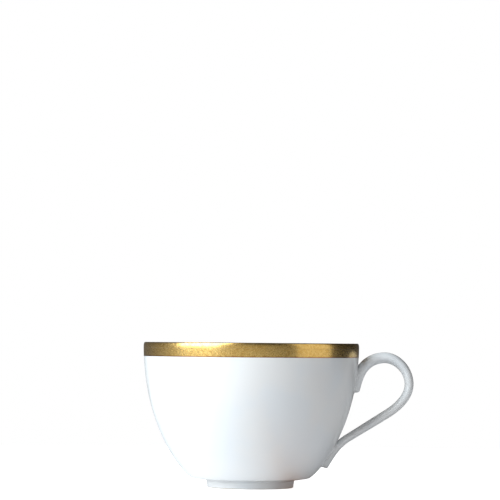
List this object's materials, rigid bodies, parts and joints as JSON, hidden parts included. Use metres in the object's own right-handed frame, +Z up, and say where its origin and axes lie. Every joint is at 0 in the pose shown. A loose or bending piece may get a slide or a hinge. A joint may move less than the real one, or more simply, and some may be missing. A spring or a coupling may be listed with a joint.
{
  "type": "teacup",
  "caption": "Glazed porcelain teacup with a tapering bowl, a low foot ring, a looped strap handle with pad ends, and a wide matt gold band under the lip.",
  "frame": {"origin": "on the surface the cup stands on, under the middle of its whole outline, handle included; the bowl's own axis is 11.7 mm from it towards -X", "axes": "+Z up, +X towards the handle, which lies in the XZ plane"},
  "size_m": [0.1154, 0.092, 0.0616],
  "materials": {
    "porcelain": "gloss",
    "fired_slip": "satin",
    "matt_gold": "satin"
  },
  "bodies": {
    "root": {"bowl": "porcelain", "foot_ring": "porcelain", "foot_slip_joint": "fired_slip", "handle": "porcelain", "upper_slip_joint": "fired_slip", "lower_slip_joint": "fired_slip", "gold_band": "matt_gold", "gold_lip": "matt_gold"}
  },
  "joints": []
}
